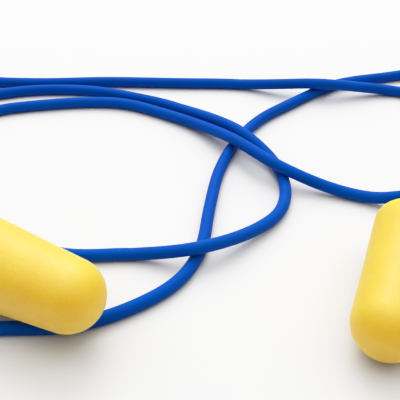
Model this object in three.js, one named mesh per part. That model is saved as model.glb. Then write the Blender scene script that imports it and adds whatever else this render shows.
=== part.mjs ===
// A pair of tapered foam ear plugs joined by one soft vinyl cord, which lies in loose loops.
// Millimetres, +Z up. The surface that everything lies on is z = 0. The origin is on that surface,
// at the middle of the box around the two plugs, and the plugs lie apart along X.
import * as THREE from "three";

// The foam plug: a cone frustum with a flat base, a rounded rim and an elliptical dome at the tip.
const PLUG_LENGTH = 25;
const BASE_RADIUS = 7.2;
const TIP_RADIUS = 5.65;
const DOME_LENGTH = 5.5;
const RIM_ROUND = 0.5;
const PLUG_SIDES = 40;
const DOME_STEPS = 9;
const RIM_STEPS = 4;

// The cord, and the way its end is glued into a blind hole in the plug's base.
const CORD_RADIUS = 1.1;
const CORD_SIDES = 8;
const CORD_STEPS = 150;
const GAP = 0.3; // left between solids that touch
const END_DEPTH = 8.4; // how far the cord's end goes into the plug
const GLUE_INNER_RADIUS = 1.4;
const GLUE_OUTER_RADIUS = 1.8;
const GLUE_FLOOR = 0.8;
const HOLE_RADIUS = 2.1;
const SMALL_SIDES = 16;
const NECK_LENGTH = 6; // the straight cord just outside the base
const CORD_LEAD = 1; // how far the free cord still goes straight on from the neck

// Where each plug lies: the middle of its base, the way its tip points, and how far the tip is raised.
const PLUGS = [
  { side: "left", base: [-36.9, 5.1, 7.2], heading: -29.4, tilt: 3.4 },
  { side: "right", base: [33.8, 10.3, 7.24], heading: -114, tilt: -4.66 },
];

// The free cord's centreline between the two necks. Its two ends are worked out from the plugs.
const ROUTE = [
  // out of the left neck, round a small bight and down over the front strand's end
  [-46.5, 11, 6.3],
  [-49, 15, 5.3],
  [-48.5, 19.5, 4],
  [-44.5, 22, 3],
  [-40, 21, 2.1],
  [-35, 16.5, 1.3],
  // along the surface behind the left plug
  [-24, 11, 1.1],
  [-12, 11, 1.1],
  // over the front strand, then round the inner loop
  [-1.5, 10, 3.5],
  [7.5, 15.5, 1.9],
  [13, 21.5, 1.1],
  [14.5, 28, 1.1],
  [13, 35, 1.5],
  // the outer strand of the pair, over the front strand again
  [7.5, 41.5, 3.4],
  [3, 46, 3.1],
  [-5, 53.5, 1.1],
  [-14, 57.5, 1.1],
  [-25, 60.5, 1.1],
  [-38, 60.5, 1.1],
  // the far left loop
  [-51, 57, 1.1],
  [-60, 54.5, 1.1],
  [-66, 56, 1.1],
  [-69, 60.5, 1.1],
  [-67.5, 66, 1.1],
  [-61.5, 67.5, 1.1],
  // the long back strand, over the front strand's far end
  [-50, 64.5, 1.1],
  [-36, 63.5, 1.1],
  [-22, 64, 1.1],
  [-5, 63.5, 1.1],
  [8, 63, 1.1],
  [15.5, 61, 2.4],
  [23.5, 59.5, 3.5],
  [32, 60, 2.4],
  [40, 60.5, 1.1],
  // the far right loop
  [50, 57, 1.1],
  [57.5, 55.5, 1.1],
  [63.5, 58.5, 1.1],
  [64.5, 64.5, 1.1],
  [59.5, 68.5, 1.1],
  [51, 68.5, 1.1],
  // the front strand, under all the others and under the left plug's tip
  [40, 66, 1.1],
  [28.5, 63, 1.1],
  [18, 55.5, 1.1],
  [11, 49.5, 1.1],
  [6, 42, 1.1],
  [2.5, 33, 1.1],
  [0.5, 22, 1.1],
  [-1, 12, 1.1],
  [-4.5, 5, 1.1],
  [-11.5, -0.5, 1.1],
  [-20, -4, 1.1],
  [-29, -4.5, 1.1],
  // round the left plug's base and under its neck, on the surface
  [-39, -4, 1.1],
  [-46, 1, 1.1],
  [-47, 9, 1.1],
  [-46, 19, 1.1],
  [-47.5, 30, 1.1],
  [-50, 41, 1.1],
  [-48.5, 49, 1.1],
  [-43, 53, 1.1],
  [-34, 55, 1.1],
  // the inner strand of the pair, over the front strand and the inner loop
  [-25, 56, 1.1],
  [-17, 55.5, 1.1],
  [-9, 52, 1.1],
  [-2, 47.5, 1.6],
  [5, 40, 3.5],
  [13, 31.5, 3.7],
  [21, 28, 1.8],
  [27, 26, 1.1],
  // up and round into the right neck
  [31, 24.5, 1.6],
  [34.5, 23.5, 3],
  [37, 21.5, 5],
  [37.5, 19, 7.1],
];

const FOAM = { color: 0xf0cd34, roughness: 0.9, metalness: 0 };
const VINYL = { color: 0x0a4fb0, roughness: 0.4, metalness: 0 };
const GLUE = { color: 0xe8e2cc, roughness: 0.5, metalness: 0 };

const ear_plugs = new THREE.Group();

function addMesh(parent, name, geometry, finish) {
  const mesh = new THREE.Mesh(geometry, new THREE.MeshStandardMaterial(finish));
  mesh.name = name;
  parent.add(mesh);
}

// The route as a smooth curve that never sinks below the surface. Its steps are even between the
// route's points, so a tight bend, where the points are close, gets short steps.
class CordPath extends THREE.CatmullRomCurve3 {
  getPoint(t, target) {
    const point = super.getPoint(t, target);
    point.z = Math.max(point.z, CORD_RADIUS);
    return point;
  }
  getPointAt(u, target) {
    return this.getPoint(u, target);
  }
  getTangentAt(u, target) {
    return this.getTangent(u, target);
  }
}

function cordTube(path, steps) {
  const section = new THREE.Shape();
  section.absarc(0, 0, CORD_RADIUS, 0, 2 * Math.PI);
  return new THREE.ExtrudeGeometry(section, {
    steps,
    curveSegments: CORD_SIDES,
    bevelEnabled: false,
    extrudePath: path,
  });
}

// An arc of an ellipse in the profile's plane, from start to end angle, as [radius, height] points.
function arcPoints(centre, radii, start, end, steps) {
  const points = [];
  for (let i = 0; i <= steps; i++) {
    const angle = start + ((end - start) * i) / steps;
    const radius = centre[0] + radii[0] * Math.cos(angle);
    const height = centre[1] + radii[1] * Math.sin(angle);
    points.push(new THREE.Vector2(Math.max(radius, 0), height));
  }
  return points;
}

// Local +Y runs from the middle of the base to the tip. The profile goes up the hole's inside first.
function plugGeometry() {
  const holeDepth = END_DEPTH + GLUE_FLOOR + 2 * GAP;
  const rim = arcPoints(
    [BASE_RADIUS - RIM_ROUND, RIM_ROUND],
    [RIM_ROUND, RIM_ROUND],
    -Math.PI / 2,
    0,
    RIM_STEPS,
  );
  const dome = arcPoints(
    [0, PLUG_LENGTH - DOME_LENGTH],
    [TIP_RADIUS, DOME_LENGTH],
    0,
    Math.PI / 2,
    DOME_STEPS,
  );
  const hole = [
    new THREE.Vector2(0, holeDepth),
    new THREE.Vector2(HOLE_RADIUS, holeDepth),
    new THREE.Vector2(HOLE_RADIUS, 0),
  ];
  dome[dome.length - 1].x = 0;
  return new THREE.LatheGeometry([...hole, ...rim, ...dome], PLUG_SIDES);
}

// A thin cup of glue around the cord's end: closed at the bottom of the hole, open at the base.
function glueGeometry() {
  const bottom = END_DEPTH + GAP;
  const profile = [
    [0, bottom],
    [GLUE_INNER_RADIUS, bottom],
    [GLUE_INNER_RADIUS, GAP],
    [GLUE_OUTER_RADIUS, GAP],
    [GLUE_OUTER_RADIUS, bottom + GLUE_FLOOR],
    [0, bottom + GLUE_FLOOR],
  ];
  const points = profile.map(([radius, height]) => new THREE.Vector2(radius, height));
  return new THREE.LatheGeometry(points, SMALL_SIDES);
}

// A straight piece of cord on the plug's own axis, between two heights above the base.
function axialCord(from, to) {
  return cordTube(new THREE.LineCurve3(new THREE.Vector3(0, from, 0), new THREE.Vector3(0, to, 0)), 1);
}

// The way a plug's tip points, as a unit vector.
function towardsTip({ heading, tilt }) {
  const turn = THREE.MathUtils.degToRad(heading);
  const rise = THREE.MathUtils.degToRad(tilt);
  return new THREE.Vector3(
    Math.cos(rise) * Math.cos(turn),
    Math.cos(rise) * Math.sin(turn),
    Math.sin(rise),
  );
}

// The point on a plug's axis that is this far past the end of its neck.
function pastNeck(plug, distance) {
  const outOfBase = NECK_LENGTH + GAP + distance;
  return new THREE.Vector3(...plug.base).addScaledVector(towardsTip(plug), -outOfBase);
}

for (const plug of PLUGS) {
  const placed = new THREE.Group();
  placed.position.set(...plug.base);
  placed.quaternion.setFromUnitVectors(new THREE.Vector3(0, 1, 0), towardsTip(plug));
  addMesh(placed, plug.side + "_foam_plug", plugGeometry(), FOAM);
  addMesh(placed, plug.side + "_glue", glueGeometry(), GLUE);
  addMesh(placed, plug.side + "_cord_end", axialCord(0, END_DEPTH), VINYL);
  addMesh(placed, plug.side + "_cord_neck", axialCord(-NECK_LENGTH, -GAP), VINYL);
  ear_plugs.add(placed);
}

const [leftPlug, rightPlug] = PLUGS;
const path = new CordPath([
  pastNeck(leftPlug, 0),
  pastNeck(leftPlug, CORD_LEAD),
  ...ROUTE.map((point) => new THREE.Vector3(...point)),
  pastNeck(rightPlug, CORD_LEAD),
  pastNeck(rightPlug, 0),
]);
addMesh(ear_plugs, "cord", cordTube(path, CORD_STEPS), VINYL);

export default ear_plugs;
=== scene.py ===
"""Two foam ear plugs on one vinyl cord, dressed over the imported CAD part. Metres, in its frame."""

import math

import bpy
import numpy as np
from mathutils import Matrix, Vector, noise


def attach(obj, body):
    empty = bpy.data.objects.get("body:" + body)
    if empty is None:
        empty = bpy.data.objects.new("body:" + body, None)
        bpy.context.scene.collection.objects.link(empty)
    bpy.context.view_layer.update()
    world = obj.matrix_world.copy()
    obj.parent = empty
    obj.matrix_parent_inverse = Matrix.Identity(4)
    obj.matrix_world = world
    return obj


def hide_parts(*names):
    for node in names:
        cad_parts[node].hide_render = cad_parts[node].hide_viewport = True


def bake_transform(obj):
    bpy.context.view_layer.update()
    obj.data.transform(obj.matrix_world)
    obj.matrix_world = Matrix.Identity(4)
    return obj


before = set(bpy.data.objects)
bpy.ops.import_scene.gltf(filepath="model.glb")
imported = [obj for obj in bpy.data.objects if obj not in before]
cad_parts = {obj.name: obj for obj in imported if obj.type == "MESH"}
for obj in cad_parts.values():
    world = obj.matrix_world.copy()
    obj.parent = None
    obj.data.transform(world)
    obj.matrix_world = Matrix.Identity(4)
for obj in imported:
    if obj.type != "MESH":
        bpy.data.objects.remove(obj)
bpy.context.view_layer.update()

MM = 0.001

# Driving sizes, as in the CAD part.
PLUG_LENGTH = 25.0 * MM
BASE_RADIUS = 7.2 * MM
TIP_RADIUS = 5.65 * MM
DOME_LENGTH = 5.5 * MM
RIM_ROUND = 0.5 * MM
HOLE_RADIUS = 1.45 * MM
HOLE_DEPTH = 9.8 * MM
CORD_RADIUS = 1.1 * MM
END_DEPTH = 8.4 * MM
NECK_END = 5.3 * MM  # where the free cord takes over from the neck, measured out of the base
CAD_CORD_START = 6.3 * MM  # where the CAD's free cord begins, measured the same way
NECK_LEAD = 1 * MM  # the straight stretch before that which sets the free cord's direction
CAP_EDGE = 0.05  # share of the last step that is shaded as the rim of the cord's flat end

# Each plug: the middle of its base in millimetres, its heading and its tilt in degrees.
PLUGS = {
    "left": ((-36.9, 5.1, 7.2), -29.4, 3.4),
    "right": ((33.8, 10.3, 7.24), -114.0, -4.66),
}

# The free cord's centreline between the necks in millimetres, the same points as in the CAD part.
ROUTE = [
    # out of the left neck, round a small bight and down over the front strand's end
    (-46.5, 11, 6.3),
    (-49, 15, 5.3),
    (-48.5, 19.5, 4),
    (-44.5, 22, 3),
    (-40, 21, 2.1),
    (-35, 16.5, 1.3),
    # along the surface behind the left plug
    (-24, 11, 1.1),
    (-12, 11, 1.1),
    # over the front strand, then round the inner loop
    (-1.5, 10, 3.5),
    (7.5, 15.5, 1.9),
    (13, 21.5, 1.1),
    (14.5, 28, 1.1),
    (13, 35, 1.5),
    # the outer strand of the pair, over the front strand again
    (7.5, 41.5, 3.4),
    (3, 46, 3.1),
    (-5, 53.5, 1.1),
    (-14, 57.5, 1.1),
    (-25, 60.5, 1.1),
    (-38, 60.5, 1.1),
    # the far left loop
    (-51, 57, 1.1),
    (-60, 54.5, 1.1),
    (-66, 56, 1.1),
    (-69, 60.5, 1.1),
    (-67.5, 66, 1.1),
    (-61.5, 67.5, 1.1),
    # the long back strand, over the front strand's far end
    (-50, 64.5, 1.1),
    (-36, 63.5, 1.1),
    (-22, 64, 1.1),
    (-5, 63.5, 1.1),
    (8, 63, 1.1),
    (15.5, 61, 2.4),
    (23.5, 59.5, 3.5),
    (32, 60, 2.4),
    (40, 60.5, 1.1),
    # the far right loop
    (50, 57, 1.1),
    (57.5, 55.5, 1.1),
    (63.5, 58.5, 1.1),
    (64.5, 64.5, 1.1),
    (59.5, 68.5, 1.1),
    (51, 68.5, 1.1),
    # the front strand, under all the others and under the left plug's tip
    (40, 66, 1.1),
    (28.5, 63, 1.1),
    (18, 55.5, 1.1),
    (11, 49.5, 1.1),
    (6, 42, 1.1),
    (2.5, 33, 1.1),
    (0.5, 22, 1.1),
    (-1, 12, 1.1),
    (-4.5, 5, 1.1),
    (-11.5, -0.5, 1.1),
    (-20, -4, 1.1),
    (-29, -4.5, 1.1),
    # round the left plug's base and under its neck, on the surface
    (-39, -4, 1.1),
    (-46, 1, 1.1),
    (-47, 9, 1.1),
    (-46, 19, 1.1),
    (-47.5, 30, 1.1),
    (-50, 41, 1.1),
    (-48.5, 49, 1.1),
    (-43, 53, 1.1),
    (-34, 55, 1.1),
    # the inner strand of the pair, over the front strand and the inner loop
    (-25, 56, 1.1),
    (-17, 55.5, 1.1),
    (-9, 52, 1.1),
    (-2, 47.5, 1.6),
    (5, 40, 3.5),
    (13, 31.5, 3.7),
    (21, 28, 1.8),
    (27, 26, 1.1),
    # up and round into the right neck
    (31, 24.5, 1.6),
    (34.5, 23.5, 3),
    (37, 21.5, 5),
    (37.5, 19, 7.1),
]
CORD_STEP = 0.6 * MM  # between the smooth centreline's points
CORD_SOFTENING = 1.6 * MM  # how far round each point it is averaged, which opens tight bends
SPAN_POINTS = 12  # points of the smooth curve for each span of the route

# ---------------------------------------------------------------- camera

CAMERA_PLACE = Vector((-1.1, -76.25, 88.8)) * MM
CAMERA_DOWN = math.radians(41)
SENSOR = 36.0
CAMERA_LENS = 67.29

camera_data = bpy.data.cameras.new("camera")
camera_data.sensor_width = SENSOR
camera_data.lens = CAMERA_LENS
camera_data.clip_start = 0.005
camera_data.clip_end = 5
camera = bpy.data.objects.new("camera", camera_data)
camera.location = CAMERA_PLACE
camera.rotation_euler = (math.pi / 2 - CAMERA_DOWN, 0, 0)
bpy.context.scene.collection.objects.link(camera)
bpy.context.scene.camera = camera


# ---------------------------------------------------------------- meshes


def new_object(name, data, material):
    """A new object in the scene that shows data in the given material."""
    data.materials.append(material)
    obj = bpy.data.objects.new(name, data)
    bpy.context.scene.collection.objects.link(obj)
    return obj


def centripetal_curve(points, per_span):
    """A centripetal Catmull-Rom curve from the second point to the last but one, with per_span
    points a span. The first and last points only set the direction at its ends."""
    out = []
    for p0, p1, p2, p3 in zip(points, points[1:], points[2:], points[3:]):
        d0, d1, d2 = (math.sqrt(np.linalg.norm(b - a)) for a, b in ((p0, p1), (p1, p2), (p2, p3)))
        m1 = d1 * ((p1 - p0) / d0 - (p2 - p0) / (d0 + d1) + (p2 - p1) / d1)
        m2 = d1 * ((p2 - p1) / d1 - (p3 - p1) / (d1 + d2) + (p3 - p2) / d2)
        for t in np.arange(per_span) / per_span:
            out.append(
                (2 * t**3 - 3 * t**2 + 1) * p1
                + (t**3 - 2 * t**2 + t) * m1
                + (3 * t**2 - 2 * t**3) * p2
                + (t**3 - t**2) * m2
            )
    out.append(points[-2])
    return np.array(out)


def evenly(points, step):
    """The same line with its points a step apart."""
    lengths = np.linalg.norm(np.diff(points, axis=0), axis=1)
    along = np.concatenate([[0], np.cumsum(lengths)])
    wanted = np.linspace(0, along[-1], round(along[-1] / step) + 1)
    return np.column_stack([np.interp(wanted, along, points[:, i]) for i in range(3)])


def softened(points, reach, step):
    """The line averaged along itself, and carried straight on past its ends for that.
    Where the line bends close to an end, this moves the end and turns its direction a little."""
    half = math.ceil(3 * reach / step)
    before = points[0] - np.outer(np.arange(half, 0, -1), points[1] - points[0])
    after = points[-1] + np.outer(np.arange(1, half + 1), points[-1] - points[-2])
    long = np.vstack([before, points, after])
    offsets = np.arange(-half, half + 1) * step
    weights = np.exp(-0.5 * (offsets / reach) ** 2)
    weights /= weights.sum()
    out = np.column_stack([np.convolve(long[:, i], weights, "valid") for i in range(3)])
    out[:, 2] = np.maximum(out[:, 2], CORD_RADIUS)
    return out


def revolved(name, profile, sides, material, wobble=None):
    """A closed surface turned round local Z from (radius, height) pairs. A radius of 0 makes a pole."""
    vertices, faces, rings = [], [], []
    for radius, height in profile:
        if radius == 0:
            rings.append([len(vertices)])
            vertices.append(Vector((0, 0, height)))
            continue
        rings.append(range(len(vertices), len(vertices) + sides))
        for i in range(sides):
            angle = 2 * math.pi * i / sides
            vertices.append(Vector((radius * math.cos(angle), radius * math.sin(angle), height)))
    for low, high in zip(rings, rings[1:]):
        for i in range(sides):
            j = (i + 1) % sides
            if len(low) == 1:
                faces.append((low[0], high[j], high[i]))
            elif len(high) == 1:
                faces.append((low[i], low[j], high[0]))
            else:
                faces.append((low[i], low[j], high[j], high[i]))
    if wobble:
        vertices = [wobble(v) for v in vertices]
    mesh = bpy.data.meshes.new(name)
    mesh.from_pydata(vertices, [], faces)
    mesh.polygons.foreach_set("use_smooth", [True] * len(mesh.polygons))
    return new_object(name, mesh, material)


def place(obj, side, turn=0.0):
    """Puts a piece that was made along +Z on a plug's axis, its zero at the base and +Z to the tip."""
    base, heading, tilt = PLUGS[side]
    away = Matrix.Rotation(math.radians(heading), 4, "Z")
    down = Matrix.Rotation(math.radians(90 - tilt), 4, "Y")
    spin = Matrix.Rotation(math.radians(turn), 4, "Z")
    obj.data.transform(Matrix.Translation(Vector(base) * MM) @ away @ down @ spin)


def on_axis(side, out):
    """The point on a plug's axis that lies a distance outside its base."""
    base, heading, tilt = PLUGS[side]
    turn, rise = math.radians(heading), math.radians(tilt)
    to_tip = Vector((math.cos(rise) * math.cos(turn), math.cos(rise) * math.sin(turn), math.sin(rise)))
    return Vector(base) * MM - to_tip * out


# ---------------------------------------------------------------- materials


def new_material(name):
    """A new material with its nodes, its links and its shader."""
    material = bpy.data.materials.new(name)
    material.use_nodes = True
    nodes = material.node_tree.nodes
    return material, nodes, material.node_tree.links, nodes["Principled BSDF"]


def noise_node(nodes, links, scale, detail, roughness=0.5):
    """Noise in object space. The scale is in cycles per metre."""
    place_node = nodes.new("ShaderNodeTexCoord")
    made = nodes.new("ShaderNodeTexNoise")
    made.inputs["Scale"].default_value = scale
    made.inputs["Detail"].default_value = detail
    made.inputs["Roughness"].default_value = roughness
    links.new(place_node.outputs["Object"], made.inputs["Vector"])
    return made


def ramp_node(nodes, links, source, stops):
    """Colours between the stops, which are (position, colour) pairs, as the source goes from 0 to 1."""
    made = nodes.new("ShaderNodeValToRGB")
    made.color_ramp.elements[0].position = stops[0][0]
    made.color_ramp.elements[0].color = (*stops[0][1], 1)
    made.color_ramp.elements[1].position = stops[-1][0]
    made.color_ramp.elements[1].color = (*stops[-1][1], 1)
    for position, colour in stops[1:-1]:
        made.color_ramp.elements.new(position).color = (*colour, 1)
    links.new(source, made.inputs["Fac"])
    return made


def foam_material():
    """Slow-recovery foam: soft yellow in close tones, with a fine skin and small open cells whose pits
    are darkened with painted shade.
    """
    material, nodes, links, shader = new_material("foam")
    patches = noise_node(nodes, links, scale=260, detail=4, roughness=0.6)
    tone = ramp_node(
        nodes,
        links,
        patches.outputs["Fac"],
        [(0.3, (0.76, 0.455, 0.006)), (0.5, (0.79, 0.485, 0.009)), (0.7, (0.82, 0.525, 0.016))],
    )
    shader.inputs["Roughness"].default_value = 0.46
    shader.inputs["Specular IOR Level"].default_value = 0.7
    shader.inputs["Sheen Weight"].default_value = 0.04
    shader.inputs["Sheen Roughness"].default_value = 0.5
    shader.inputs["Subsurface Weight"].default_value = 0.9
    shader.inputs["Diffuse Roughness"].default_value = 1
    shader.inputs["Subsurface Radius"].default_value = (1, 0.85, 0.4)
    shader.inputs["Subsurface Scale"].default_value = 7 * MM
    # Small open cells: a pit bumped into the skin, and painted shade that darkens and warms the colour
    # in each pit.
    place_node = nodes.new("ShaderNodeTexCoord")
    cells = nodes.new("ShaderNodeTexVoronoi")
    cells.inputs["Scale"].default_value = 1700
    links.new(place_node.outputs["Object"], cells.inputs["Vector"])
    pits = nodes.new("ShaderNodeMapRange")
    pits.inputs["From Min"].default_value = 0.05
    pits.inputs["From Max"].default_value = 0.24
    links.new(cells.outputs["Distance"], pits.inputs["Value"])
    # Painted shade: the colour is multiplied darker and warmer in each pit, most at its middle.
    pit_shaded = nodes.new("ShaderNodeMix")
    pit_shaded.data_type = "RGBA"
    pit_shaded.blend_type = "MULTIPLY"
    pit_shaded.inputs["B"].default_value = (0.82, 0.72, 0.45, 1)
    pit_shade_amount = nodes.new("ShaderNodeMapRange")
    pit_shade_amount.inputs["To Min"].default_value = 0.4
    pit_shade_amount.inputs["To Max"].default_value = 0
    links.new(pits.outputs["Result"], pit_shade_amount.inputs["Value"])
    links.new(pit_shade_amount.outputs["Result"], pit_shaded.inputs["Factor"])
    links.new(tone.outputs["Color"], pit_shaded.inputs["A"])
    links.new(pit_shaded.outputs["Result"], shader.inputs["Base Color"])
    pit_bump = nodes.new("ShaderNodeBump")
    pit_bump.inputs["Strength"].default_value = 0.5
    pit_bump.inputs["Distance"].default_value = 0.06 * MM
    links.new(pits.outputs["Result"], pit_bump.inputs["Height"])
    # The skin between them: a fine unevenness.
    grain = noise_node(nodes, links, scale=1500, detail=5, roughness=0.65)
    grain_bump = nodes.new("ShaderNodeBump")
    grain_bump.inputs["Strength"].default_value = 0.4
    grain_bump.inputs["Distance"].default_value = 0.15 * MM
    links.new(grain.outputs["Fac"], grain_bump.inputs["Height"])
    links.new(pit_bump.outputs["Normal"], grain_bump.inputs["Normal"])
    links.new(grain_bump.outputs["Normal"], shader.inputs["Normal"])
    return material


def vinyl_material():
    """Soft extruded vinyl: one strong blue, a satin skin with faint scuffs."""
    material, nodes, links, shader = new_material("vinyl")
    drift = noise_node(nodes, links, scale=120, detail=3)
    tone = ramp_node(
        nodes,
        links,
        drift.outputs["Fac"],
        [(0.3, (0.0005, 0.056, 0.32)), (0.7, (0.001, 0.066, 0.37))],
    )
    links.new(tone.outputs["Color"], shader.inputs["Base Color"])
    scuffs = noise_node(nodes, links, scale=900, detail=4)
    gloss = nodes.new("ShaderNodeMapRange")
    gloss.inputs["To Min"].default_value = 0.48
    gloss.inputs["To Max"].default_value = 0.6
    links.new(scuffs.outputs["Fac"], gloss.inputs["Value"])
    links.new(gloss.outputs["Result"], shader.inputs["Roughness"])
    shader.inputs["Specular IOR Level"].default_value = 0.07
    shader.inputs["Specular Tint"].default_value = (0.02, 0.3, 1, 1)
    bump = nodes.new("ShaderNodeBump")
    bump.inputs["Strength"].default_value = 0.15
    bump.inputs["Distance"].default_value = 0.05 * MM
    links.new(scuffs.outputs["Fac"], bump.inputs["Height"])
    links.new(bump.outputs["Normal"], shader.inputs["Normal"])
    return material


def glue_material():
    """Set glue: milky and a little glossy."""
    material, nodes, links, shader = new_material("glue")
    clouds = noise_node(nodes, links, scale=1400, detail=3)
    tone = ramp_node(
        nodes,
        links,
        clouds.outputs["Fac"],
        [(0.3, (0.50, 0.42, 0.12)), (0.7, (0.60, 0.53, 0.22))],
    )
    links.new(tone.outputs["Color"], shader.inputs["Base Color"])
    shader.inputs["Roughness"].default_value = 0.3
    shader.inputs["Subsurface Weight"].default_value = 0.5
    shader.inputs["Subsurface Radius"].default_value = (1, 0.9, 0.6)
    shader.inputs["Subsurface Scale"].default_value = 0.6 * MM
    return material


def floor_material():
    """A plain matt white surface."""
    material, nodes, links, shader = new_material("floor")
    shader.inputs["Base Color"].default_value = (0.7, 0.7, 0.7, 1)
    shader.inputs["Roughness"].default_value = 0.9
    shader.inputs["Specular IOR Level"].default_value = 0.1
    return material


FOAM = foam_material()
VINYL = vinyl_material()
GLUE = glue_material()

# ---------------------------------------------------------------- the free cord

leaving = [on_axis("left", out) for out in (NECK_END - NECK_LEAD, NECK_END, CAD_CORD_START)]
arriving = [on_axis("right", out) for out in (CAD_CORD_START, NECK_END, NECK_END - NECK_LEAD)]
route = np.vstack([leaving, np.array(ROUTE) * MM, arriving])
centreline = evenly(centripetal_curve(route, SPAN_POINTS), CORD_STEP)
centreline = softened(centreline, CORD_SOFTENING, CORD_STEP)

# The averaging moves the ends, so they are put back, each with a point close beside it.
first, last = route[1], route[-2]
beside_first = first + (centreline[1] - first) * CAP_EDGE
beside_last = last + (centreline[-2] - last) * CAP_EDGE
centreline = np.vstack([first, beside_first, centreline[1:-1], beside_last, last])

cord_curve = bpy.data.curves.new("vinyl_cord", "CURVE")
cord_curve.dimensions = "3D"
cord_curve.bevel_depth = CORD_RADIUS
cord_curve.bevel_resolution = 5
cord_curve.use_fill_caps = True
spline = cord_curve.splines.new("POLY")
spline.points.add(len(centreline) - 1)
for point, position in zip(spline.points, centreline):
    point.co = (*position, 1)
spline.use_smooth = True
cord = new_object("vinyl_cord", cord_curve, VINYL)
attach(cord, "cord")
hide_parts("cord")

# ---------------------------------------------------------------- the plugs

PLUG_SIDES = 96
SIDE_RINGS = 60
RIM_RINGS = 6
DOME_RINGS = 24
BASE_RINGS = 10
HOLE_RINGS = 8
BEAD_SIDES = 32
FILLET_STEPS = 6
NECK_SIDES = 20
NECK_RINGS = 48
FIT_GAP = 0.02 * MM
FIRST_SEED = 2  # where the left plug's wander starts in the noise
SEED_STEP = 7.3  # and how far from it the right plug's does


def foam_profile():
    """From the hole's floor to its mouth, across the base, round the rim, up the side, over the tip."""
    mouth = 0.2 * MM
    profile = [(0, HOLE_DEPTH)]
    for i in range(HOLE_RINGS + 1):
        profile.append((HOLE_RADIUS, HOLE_DEPTH + (mouth - HOLE_DEPTH) * i / HOLE_RINGS))
    for i in range(BASE_RINGS + 1):
        reach = BASE_RADIUS - RIM_ROUND - HOLE_RADIUS - mouth
        profile.append((HOLE_RADIUS + mouth + reach * i / BASE_RINGS, 0))
    for i in range(1, RIM_RINGS + 1):
        angle = math.pi / 2 * i / RIM_RINGS
        profile.append(
            (BASE_RADIUS - RIM_ROUND * (1 - math.sin(angle)), RIM_ROUND * (1 - math.cos(angle)))
        )
    shoulder = PLUG_LENGTH - DOME_LENGTH
    for i in range(1, SIDE_RINGS + 1):
        share = i / SIDE_RINGS
        profile.append(
            (
                BASE_RADIUS + (TIP_RADIUS - BASE_RADIUS) * share,
                RIM_ROUND + (shoulder - RIM_ROUND) * share,
            )
        )
    for i in range(1, DOME_RINGS):
        angle = math.pi / 2 * i / DOME_RINGS
        profile.append((TIP_RADIUS * math.cos(angle), shoulder + DOME_LENGTH * math.sin(angle)))
    profile.append((0, PLUG_LENGTH))
    return profile


def foam_wobble(seed):
    """Draws a point of the skin in, here more and there less, as moulded foam is never quite true."""
    slow, fine = 110.0, 900.0  # cycles per metre
    slow_size, fine_size = 0.09 * MM, 0.025 * MM

    def move(point):
        radius = math.hypot(point.x, point.y)
        if radius < HOLE_RADIUS + FIT_GAP:
            return point
        shift = slow_size * noise.noise(point * slow + Vector((seed, 0, 0)))
        shift += fine_size * noise.noise(point * fine + Vector((0, seed, 0)))
        outward = Vector((point.x, point.y, 0)).normalized()
        return point - outward * (slow_size + fine_size - shift) * 0.5

    return move


def glue_profile():
    """A sleeve round the cord's end, closed below it, with a small fillet that climbs the cord."""
    inner = CORD_RADIUS + FIT_GAP
    outer = HOLE_RADIUS - FIT_GAP
    bottom = END_DEPTH + FIT_GAP
    climb = 0.35 * MM
    reach = 0.96  # share of the sleeve's thickness that the fillet covers, just short of the cord
    profile = [(0, bottom), (inner, bottom), (inner, -climb)]
    for i in range(1, FILLET_STEPS + 1):
        angle = math.pi / 2 * i / FILLET_STEPS
        radius = outer - (outer - inner) * math.cos(angle) * reach
        profile.append((radius, -climb * (1 - math.sin(angle))))
    profile += [(outer, HOLE_DEPTH - FIT_GAP), (0, HOLE_DEPTH - FIT_GAP)]
    return profile


def neck_profile():
    """The straight cord from the bottom of the hole to the free cord, in many rings along its length.
    """
    profile = [(0, END_DEPTH)]
    for i in range(NECK_RINGS):
        profile.append((CORD_RADIUS, END_DEPTH - (END_DEPTH + NECK_END) * i / NECK_RINGS))
    profile += [(CORD_RADIUS, -NECK_END + FIT_GAP), (CORD_RADIUS, -NECK_END), (0, -NECK_END)]
    return profile


for number, side in enumerate(PLUGS):
    wobble = foam_wobble(SEED_STEP * number + FIRST_SEED)
    foam = revolved(side + "_foam", foam_profile(), PLUG_SIDES, FOAM, wobble)
    place(foam, side)
    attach(foam, side + "_plug")
    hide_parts(side + "_foam_plug")

    bead = revolved(side + "_glue_bead", glue_profile(), BEAD_SIDES, GLUE)
    place(bead, side)
    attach(bead, side + "_plug")
    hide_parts(side + "_glue")

    neck = revolved(side + "_vinyl_neck", neck_profile(), NECK_SIDES, VINYL)
    place(neck, side)
    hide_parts(side + "_cord_neck", side + "_cord_end")
    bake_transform(neck)

# ---------------------------------------------------------------- floor and light

HALF = 1.5  # of the floor's side
corners = [(-HALF, -HALF, 0), (HALF, -HALF, 0), (HALF, HALF, 0), (-HALF, HALF, 0)]
floor_mesh = bpy.data.meshes.new("floor")
floor_mesh.from_pydata(corners, [], [(0, 1, 2, 3)])
floor = new_object("floor", floor_mesh, floor_material())


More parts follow.
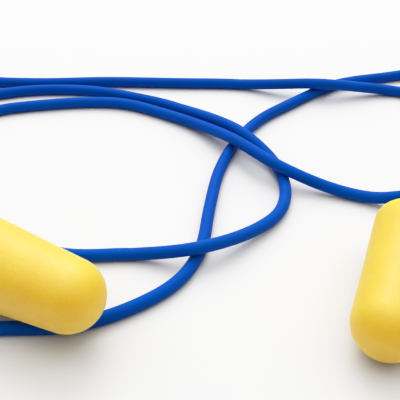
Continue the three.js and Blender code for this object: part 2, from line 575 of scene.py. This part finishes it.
def area_light(name, location, aim, size, power):
    """A round soft light, which is size across and faces the aim."""
    data = bpy.data.lights.new(name, "AREA")
    data.shape = "DISK"
    data.size = size
    data.energy = power
    light = bpy.data.objects.new(name, data)
    light.location = location
    light.rotation_euler = (Vector(aim) - Vector(location)).to_track_quat("-Z", "Y").to_euler()
    bpy.context.scene.collection.objects.link(light)


area_light("key", location=(-0.01, 0.32, 0.375), aim=(0, 0.02, 0), size=0.28, power=0.95)


def sky(world, towards, edge, middle, falloff):
    """Light from all round: strength edge far from the given direction, rising to edge + middle in it.
    A higher falloff draws the brighter part closer round that direction."""
    world.use_nodes = True
    nodes, links = world.node_tree.nodes, world.node_tree.links
    seen = nodes.new("ShaderNodeTexCoord")
    facing = nodes.new("ShaderNodeVectorMath")
    facing.operation = "DOT_PRODUCT"
    facing.inputs[1].default_value = Vector(towards).normalized()
    links.new(seen.outputs["Generated"], facing.inputs[0])
    above = nodes.new("ShaderNodeMath")
    above.operation = "MAXIMUM"
    above.inputs[1].default_value = 0
    links.new(facing.outputs["Value"], above.inputs[0])
    lobe = nodes.new("ShaderNodeMath")
    lobe.operation = "POWER"
    lobe.inputs[1].default_value = falloff
    links.new(above.outputs["Value"], lobe.inputs[0])
    strength = nodes.new("ShaderNodeMath")
    strength.operation = "MULTIPLY_ADD"
    strength.inputs[1].default_value = middle
    strength.inputs[2].default_value = edge
    links.new(lobe.outputs["Value"], strength.inputs[0])
    links.new(strength.outputs["Value"], nodes["Background"].inputs["Strength"])
    nodes["Background"].inputs["Color"].default_value = (1, 1, 1, 1)


world = bpy.data.worlds.new("studio")
sky(world, towards=(0.0, 0.4, 0.91), edge=0.05, middle=2.95, falloff=1.8)
bpy.context.scene.world = world

# A camera's gentle shoulder: bright tones are held back, and full white is reached late.
SHOULDER = ((0.07, 0.1), (0.22, 0.32), (0.4, 0.57), (0.6, 0.77), (0.8, 0.9), (0.92, 0.97))
WHITE = 1.4
COMBINED = 3  # the curve for all colours, after those for red, green and blue
view = bpy.context.scene.view_settings
view.view_transform = "Standard"
view.use_curve_mapping = True
view.curve_mapping.white_level = (WHITE, WHITE, WHITE)
for seen, shown in SHOULDER:
    view.curve_mapping.curves[COMBINED].points.new(seen, shown)
view.curve_mapping.update()
